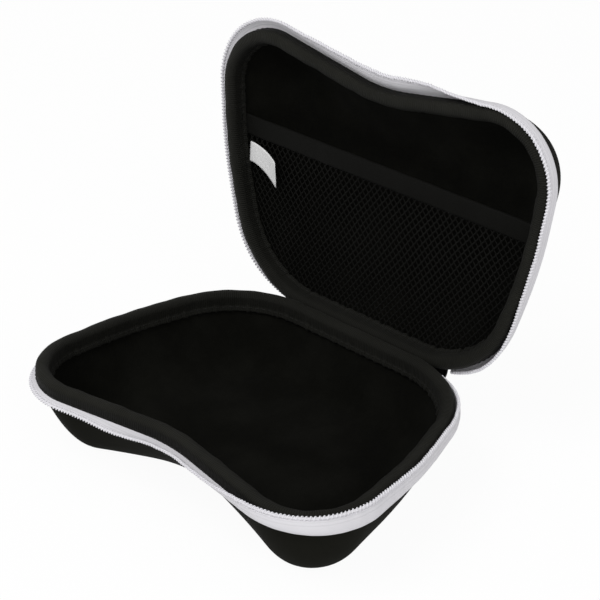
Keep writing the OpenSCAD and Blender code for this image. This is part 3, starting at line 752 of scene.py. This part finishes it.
def tape_solid(lie, seed):
    """The tape with both faces: the middle face moved by half its thickness each way, thinner at
    the free edge, which closes round."""
    s = np.linspace(ZIP_START, ZIP_LENGTH - ZIP_START, 640)
    face, normal = zip_grid(lie, s, seed)[:2]
    half = TAPE_THICK / 2 * np.sqrt(1 - np.linspace(0, 0.92, face.shape[1]) ** 6)[None, :, None]
    grid = np.concatenate([face + normal * half, (face - normal * half)[:, ::-1]], 1)
    run = np.linalg.norm(np.diff(face, axis=1), axis=-1)
    from_edge = np.concatenate([np.cumsum(run[:, ::-1], 1)[:, ::-1], np.zeros((len(s), 1))], 1)
    across = np.concatenate([from_edge, from_edge[:, ::-1], from_edge[:, :1]], 1)
    return grid, s, np.concatenate([across, across[-1:]])


def lay_tape(name, lie, place, body, seed):
    """Lays one half of the zip's tape: u runs along the zip and v is the distance from its free edge."""
    grid, s, across = tape_solid(lie, seed)
    return lay(name, place(grid), np.append(s, s[-1])[:, None], across, zip_white, body)


base_tape = lay_tape("base_tape", BASE_LIE, lift_base, "base", 21)
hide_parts("base_zip_tape")

# Base zip coil
# A continuous white nylon monofilament wound round a thin filler cord and sewn to the tape's free
# edge. Each turn is one tooth, and the teeth are 1.5 mm apart.
TOOTH = 1.5
FILAMENT = 0.34  # the filament's radius
CORE_RADIUS = 0.6
TURN_POINTS = 14  # points along each turn of the filament
CORE_STEP = 12  # the core has one point for this many of the filament's
nylon = dressed("nylon_coil", NAP, dark=(0.74, 0.73, 0.77), rubbed=(0.66, 0.65, 0.67), patches=0.2,
                specks=0.0, roughness=0.38, gloss=0.4, sheen=0.0, bump=0.2, depth=0.03, contrast=0.1,
                values={"Length": 0.4})


def tube(path, reference, radius, sides):
    """A tube round each path: circles in the plane of n = unit(tangent x reference) and
    tangent x n. Radius may change along it."""
    tangent = unit(np.gradient(path, axis=-2))
    n = unit(np.cross(tangent, reference))
    m = np.cross(tangent, n)
    a = np.linspace(0, 2 * pi, sides + 1)[:-1]
    r = np.broadcast_to(radius, path.shape[:-1])[..., None, None]
    circle = n[..., None, :] * np.cos(a)[:, None] + m[..., None, :] * np.sin(a)[:, None]
    return path[..., None, :] + r * circle


def coil_paths(lie, seed):
    """The filament and the filler cord. The filament's turn at s is edge + E w (0.42 + 0.42 cos q) +
    F (t / 2 - r) sin q with q = 2 pi s / TOOTH, where E points out of the tape and F is its normal."""
    count = int((ZIP_LENGTH - 2 * ZIP_START) / TOOTH * TURN_POINTS)
    s = np.linspace(ZIP_START + 0.5, ZIP_LENGTH - ZIP_START - 0.5, count)
    face, normal, along = zip_grid(lie, s, seed)
    edge, out, lift = face[:, -1], unit(face[:, -1] - face[:, -2]), normal[:, -1]
    q = (2 * pi * s / TOOTH)[:, None]
    turn = edge + out * COIL_W * (0.42 + 0.42 * np.cos(q)) + lift * (COIL_T / 2 - FILAMENT) * np.sin(q)
    core = (edge + out * COIL_W * 0.36)[::CORE_STEP]
    return turn, along, core, lift[::CORE_STEP], s


def lay_coil(name, lie, place, body, seed):
    """Lays the filament, and the filler cord inside its turns as a second piece."""
    turn, along, core, lift, s = coil_paths(lie, seed)
    filament = tube(turn, along, FILAMENT, 6)
    piece = lay(name, place(filament), np.append(s, s[-1])[:, None], np.linspace(0, 2, 7)[None, :],
                nylon, body)
    cord = tube(core, lift, CORE_RADIUS, 10)
    cord_piece = lay(name + "_core", place(cord), np.linspace(0, s[-1], len(core) + 1)[:, None],
                     np.linspace(4, 7, 11)[None, :], zip_white, body)
    return piece, cord_piece


base_coil, base_core = lay_coil("base_coil", BASE_LIE, lift_base, "base", 21)
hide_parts("base_zip_coil")

# Lid
# The same moulding in a shallower tray, turned over and stood open on its cloth hinge. Its skin,
# lining, ribbed binding, seams and zip half are made as the base's are.
LID_DEPTH = 27.7
HINGE_Y, HINGE_Z = 59.6, 35.3
SHUT_GAP = 1.4
OPEN = radians(94)


def open_lid(points):
    """From heights below the lid's rim to its open place: turned over, set on the base's rim, and
    turned by OPEN about the hinge line."""
    x, y, z = points[..., 0], points[..., 1] - HINGE_Y, -points[..., 2] + BASE_DEPTH + SHUT_GAP - HINGE_Z
    back, high = y * cos(OPEN) + z * sin(OPEN), z * cos(OPEN) - y * sin(OPEN)
    return np.stack([x, back + HINGE_Y, high + HINGE_Z], -1)


lid_skin = lay_rings("lid_skin", shell_surface(LID_DEPTH), open_lid, outer_skin, "lid")
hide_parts("lid_shell")
lid_fleece = lay_rings("lid_fleece", lining_surface(LID_DEPTH), open_lid, fleece, "lid")
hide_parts("lid_lining")
lid_rim_surface = binding_surface(LID_DEPTH, 31)
lid_rim = lay_rings("lid_rim", lid_rim_surface, open_lid, ribbed, "lid", loop=True)
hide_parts("lid_binding")
seam("lid_outer_stitches", lid_rim_surface, OUTER_ROW, open_lid, "lid")
seam("lid_hem_stitches", lid_rim_surface, HEM_ROW, open_lid, "lid")

# Lid zip half
# The other half of the zip. On the left of the open lid it lies outwards, over the dip between the
# lobes it leans out in two folds, and on the right it stands up against the binding.
LID_LIE = np.array([
    (0, 0.3, 0.1, 60, 30, 0), (0.05, 0.36, 0.3, 40, 20, 0), (0.12, 0.4, 0.34, 18, 20, 0),
    (0.28, 0.36, 0.34, 18, 20, 0), (0.34, 0.3, 0.34, 36, 10, 6), (0.39, 0.4, 0.46, 38, -16, 20),
    (0.44, 0.46, 0.62, 36, -28, 30), (0.49, 0.48, 0.74, 34, -30, 34), (0.54, 0.46, 0.72, 36, -28, 32),
    (0.57, 0.42, 0.66, 50, -10, 14), (0.6, 0.3, 0.6, 74, 14, 0), (0.64, 0.2, 0.62, 88, 16, 0),
    (0.84, 0.2, 0.6, 90, 16, 0), (0.92, 0.24, 0.52, 74, 24, 0), (0.96, 0.3, 0.4, 60, 30, 0),
    (1, 0.3, 0.1, 50, 30, 0)])
lid_tape = lay_tape("lid_tape", LID_LIE, open_lid, "lid", 41)
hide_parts("lid_zip_tape")
lid_coil, lid_core = lay_coil("lid_coil", LID_LIE, open_lid, "lid", 41)
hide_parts("lid_zip_coil")

# Hinge strip
# Black woven cloth across the back, sewn to the base's seam and the lid's. It sags in a U between
# them while the case stands open.
HINGE_LENGTH = 92
HINGE_THICK = 0.9
HINGE_SAG = 6.0
BACK_Y, BACK_RADIUS = RIM_CORNERS[0, 1:]
BACK_STRAIGHT = 41.2  # half the straight stretch of the back
hinge_cloth = dressed("hinge_cloth", WOVEN, dark=(0.0065, 0.0065, 0.0055),
                      rubbed=(0.012, 0.012, 0.0105), patches=0.4, specks=0.3, roughness=0.75,
                      gloss=0.08, sheen=0.02, bump=0.6, depth=0.12, contrast=0.8,
                      values={"Along": 0.8, "Across": 0.8})


def hinge_solid():
    """The strip's middle line from seam to seam at each x is a cubic curve, (1-f)^3 a + 3 (1-f)^2 f
    (a + drop) + 3 (1-f) f^2 (b + drop) + f^3 b, moved by half its thickness each way."""
    x = np.linspace(HINGE_LENGTH / 2, -HINGE_LENGTH / 2, 90)
    past = np.maximum(0, np.abs(x) - BACK_STRAIGHT)
    face = BACK_Y - BACK_RADIUS + np.sqrt(BACK_RADIUS ** 2 - past ** 2) - SHELL_IN + 0.1
    seam_z = LEG + 0.1
    first = np.stack([x, face + HINGE_THICK / 2, np.full_like(x, BASE_DEPTH - seam_z)], -1)
    last = open_lid(np.stack([x, face + 0.3, np.full_like(x, -seam_z - HINGE_THICK / 2)], -1))
    drop = np.array([0, 0, -HINGE_SAG]) * (1 + 0.08 * wobble(x, (37, 23, 13), 5))[:, None, None]
    f = np.linspace(0, 1, 17)[None, :, None]
    a, b = first[:, None], last[:, None]
    line = ((1 - f) ** 3 * a + 3 * (1 - f) ** 2 * f * (a + drop)
            + 3 * (1 - f) * f ** 2 * (b + drop) + f ** 3 * b)
    tangent = unit(np.gradient(line, axis=1))
    normal = unit(np.cross(tangent, [1.0, 0, 0]))
    half = HINGE_THICK / 2 * np.array([0.55, *[1] * 15, 0.55])[None, :, None]
    return np.concatenate([line + normal * half, (line - normal * half)[:, ::-1]], 1), x


hinge_grid, hinge_x = hinge_solid()
hinge = lay("hinge_strip_cloth", hinge_grid, np.append(hinge_x, hinge_x[-1])[:, None],
            run_length(hinge_grid, 1)[None, :], hinge_cloth, None)
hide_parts("hinge_strip")
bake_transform(hinge)

# Pocket net
# Black knitted net with six-sided holes about 3 mm across. Each thread zigzags and is knitted to
# its neighbours in turn. It is sewn in under the binding's hem and held between the band's layers.
NET_PITCH = 3.2  # from hole to hole along the hinge
NET_ROW = 4.4  # from hole to hole the other way
NET_HALF = 49  # threads on each side of the middle one
NET_THREAD = 0.3
NET_SAG = 0.5
POCKET_HALF = 82  # half the pocket's width
POCKET_TOP = -7.36
POCKET_SHARE = 0.0672
BAND_FREE, BAND_SEWN = -17.5, -8.5
net_black = dressed("net_thread", WOVEN, dark=(0.0055, 0.0055, 0.0048), rubbed=(0.0095, 0.0095, 0.0085),
                    patches=0.3, specks=0.1, roughness=0.65, gloss=0.06, sheen=0.01, bump=0.4,
                    depth=0.05, contrast=0.6, values={"Along": 0.3, "Across": 0.3})

pocket_edge = outline(POCKET_SHARE, LINING_FACE_IN + 0.2, 0.8)
right_edge = pocket_edge[(pocket_edge[:, 0] > 0) & (pocket_edge[:, 1] > -40)]
right_edge = right_edge[np.argsort(right_edge[:, 1])]


def half_width(y):
    """Half the pocket's width at y, from its edge line."""
    return np.interp(y, right_edge[:, 1], right_edge[:, 0])


def net_threads():
    """Thread k runs up the net at x = k p / 2 + (-1)^k a w(y), where w is a rounded square wave of
    the row height, so that it touches one neighbour and then the other. The net sags by NET_SAG."""
    k = np.arange(-NET_HALF, NET_HALF + 1)
    x = k * NET_PITCH / 2
    reach = pocket_edge[pocket_edge[:, 1] > BAND_SEWN]
    order = np.argsort(np.abs(reach[:, 0]))
    back = np.interp(np.abs(x), np.abs(reach[order, 0]), reach[order, 1])
    keep = back - BAND_SEWN > 4
    x, k, back = x[keep], k[keep], back[keep]
    t = np.linspace(0, 1, 132)
    y = BAND_SEWN - 2.5 + (back - BAND_SEWN + 2.5)[:, None] * t[None, :]
    wave = np.tanh(1.6 * np.cos(2 * pi * y / NET_ROW)) / np.tanh(1.6)
    lean = (-1.0) ** k[:, None] * wave * (NET_PITCH / 4 - 0.24)
    sag = NET_SAG * np.cos(pi / 2 * x / POCKET_HALF)[:, None] ** 2 * np.sin(pi * t)[None, :]
    z = POCKET_TOP - 0.7 - sag + 0.16 * (-1.0) ** k[:, None] * np.sin(2 * pi * y / NET_ROW)
    line = np.stack([x[:, None] + lean + 0.25 * wobble(y, (23, 37), 3), y, z], -1)
    return tube(line, np.array([0, 0, 1.0]), NET_THREAD, 4)


net_grid = net_threads()
net = lay("pocket_net_cloth", open_lid(net_grid), np.linspace(0, 70, net_grid.shape[1] + 1)[:, None],
          np.linspace(0, 2, 5)[None, :], net_black, "lid")
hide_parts("pocket_net")

# Pocket band
# Black ribbed elastic, about 18 mm wide, folded over the net's free edge and sewn through near its
# lower edge, so that it holds the pocket shut.
BAND_THICK = 1.4
elastic = dressed("ribbed_elastic", WOVEN, dark=(0.0036, 0.0036, 0.003), rubbed=(0.006, 0.006, 0.0052),
                  patches=0.3, specks=0.2, roughness=0.65, gloss=0.06, sheen=0.01, bump=0.6, depth=0.15,
                  contrast=0.6, values={"Along": 0.7, "Across": 1.1})


def band_section():
    """The folded elastic's closed section [y, z]: back leg, half round the free edge, front leg,
    and back inside with a narrow slot for the net."""
    leg, r = 0.5, BAND_THICK / 2
    a = np.radians(np.linspace(-90, -270, 9))
    fold = np.stack([BAND_FREE + r + r * np.cos(a), -r + r * np.sin(a)], -1)
    back_leg = np.stack([np.linspace(BAND_SEWN, BAND_FREE + r + 0.5, 8), np.full(8, -BAND_THICK)], -1)
    front_leg = np.stack([np.linspace(BAND_FREE + r + 0.5, BAND_SEWN, 12), np.zeros(12)], -1)
    slot = np.array([(BAND_SEWN, -leg), (BAND_FREE + r, -leg), (BAND_FREE + r - 0.15, -r),
                     (BAND_FREE + r, -BAND_THICK + leg), (BAND_SEWN, -BAND_THICK + leg)])
    return np.concatenate([back_leg, fold, front_leg, slot])


def band_solid():
    """The section carried across the lid. Its ends follow the pocket's edge, x = t half_width(y),
    and the front face swells a little between its two edges."""
    section = band_section()
    t = np.linspace(-1, 1, 180)
    y, z = section[:, 0], section[:, 1]
    x = t[:, None] * half_width(np.minimum(y, BAND_SEWN))[None, :]
    swell = 0.15 * np.sin(pi * np.clip((y - BAND_FREE) / (BAND_SEWN - BAND_FREE), 0, 1)) * (z > -0.3)
    wave = 0.1 * wobble(t * 80, (37, 21, 9), 9)[:, None]
    return np.stack([x, y + wave * 0.6 + 0 * x, POCKET_TOP + z + swell + wave], -1)


band_grid = band_solid()
band_across = np.concatenate([[0], np.cumsum(np.linalg.norm(np.diff(
    np.concatenate([band_section(), band_section()[:1]]), axis=0), axis=1))])
band_along = np.linspace(-POCKET_HALF, POCKET_HALF, len(band_grid) + 1)
band = lay("pocket_band_cloth", open_lid(band_grid), band_along[:, None],
           band_across[None, :], elastic, "lid")
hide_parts("pocket_band")

# Cloth tag
# A small blank white satin tag, sewn in at the left under the binding. Its free end curls up and
# its lower corner hangs.
TAG_HEIGHT, TAG_LENGTH, TAG_THICK, TAG_RADIUS = 9.5, 20.0, 0.35, 38.0
TAG_X, TAG_Y = -77.1, -5.5
satin = dressed("white_satin", WOVEN, dark=(0.7, 0.7, 0.7), rubbed=(0.62, 0.62, 0.62), patches=0.2,
                specks=0.0, roughness=0.45, gloss=0.35, sheen=0.1, bump=0.3, depth=0.05, contrast=0.12,
                values={"Along": 0.3, "Across": 0.5})


def tag_solid():
    """The tag's face: along it x = radius sin q and height = radius (1 - cos q), and the free end
    slides down by up to 7 mm. The lower edge slides more and curls up less, and a slight ripple
    runs along it. Both faces are half the thickness off it."""
    q = np.linspace(0, TAG_LENGTH / TAG_RADIUS, 26)[:, None]
    w = np.linspace(0, 1, 14)[None, :]
    f = q / q[-1]
    x = TAG_X + TAG_RADIUS * np.sin(q) + 0 * w
    y = TAG_Y + TAG_HEIGHT * w + f ** 1.7 * (3.6 + 3.4 * w)
    ripple = 0.12 * np.sin(9 * q + 2 * w)
    z = POCKET_TOP + 0.35 + TAG_RADIUS * (1 - np.cos(q)) * (0.85 - 0.4 * w * f) + ripple
    face = np.stack([x, y, z], -1)
    normal = unit(np.cross(np.gradient(face, axis=0), np.gradient(face, axis=1)))
    half = TAG_THICK / 2
    return np.concatenate([face + normal * half, (face - normal * half)[:, ::-1]], 1), q[:, 0] * TAG_RADIUS


tag_grid, tag_along = tag_solid()
tag = lay("label_tag_cloth", open_lid(tag_grid), np.append(tag_along, tag_along[-1])[:, None],
          run_length(tag_grid, 1)[None, :], satin, "lid")
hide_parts("label_tag")

# Zip slider and pull
# Die-cast in zinc and enamelled black: two plates on a post that run on the coil, and a flat pull
# with a barrel eye on a bar. The casting's edges are slightly rounded, and its enamel is rubbed a
# little lighter in patches.
CAST, given, gives = new_group("Cast enamel", [("Place", "vector")],
                               [("Height", "value"), ("Shade", "value")])
CAST.links.new(noise(CAST, given["Place"], 900, 3.0, 0.6), gives["Height"])
CAST.links.new(spread(CAST, noise(CAST, given["Place"], 160, 2.0), 0.3, 0.7, 0.35, 0.7), gives["Shade"])
enamel = dressed("black_enamel", CAST, dark=(0.012, 0.012, 0.013), rubbed=(0.05, 0.05, 0.05),
                 patches=0.25, specks=0.2, roughness=0.3, gloss=0.5, sheen=0.0, bump=0.25, depth=0.04,
                 contrast=0.8)
enamel.node_tree.nodes["Principled BSDF"].inputs["Coat Weight"].default_value = 0.4
enamel.node_tree.nodes["Principled BSDF"].inputs["Coat Roughness"].default_value = 0.15
for node in ("zip_slider", "zip_pull"):
    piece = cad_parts[node]
    piece.data.materials.clear()
    piece.data.materials.append(enamel)
    soften = piece.modifiers.new("soften", "BEVEL")
    soften.width = 0.22 * MM
    soften.segments = 3
    soften.limit_method = "ANGLE"
    soften.angle_limit = radians(35)
    soften.harden_normals = False

# Zip meshes
# Each piece of both zip halves is given a copy of its mesh of its own.
for piece in (base_tape, base_coil, base_core):
    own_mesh(piece)
for piece in (lid_tape, lid_coil, lid_core):
    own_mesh(piece)
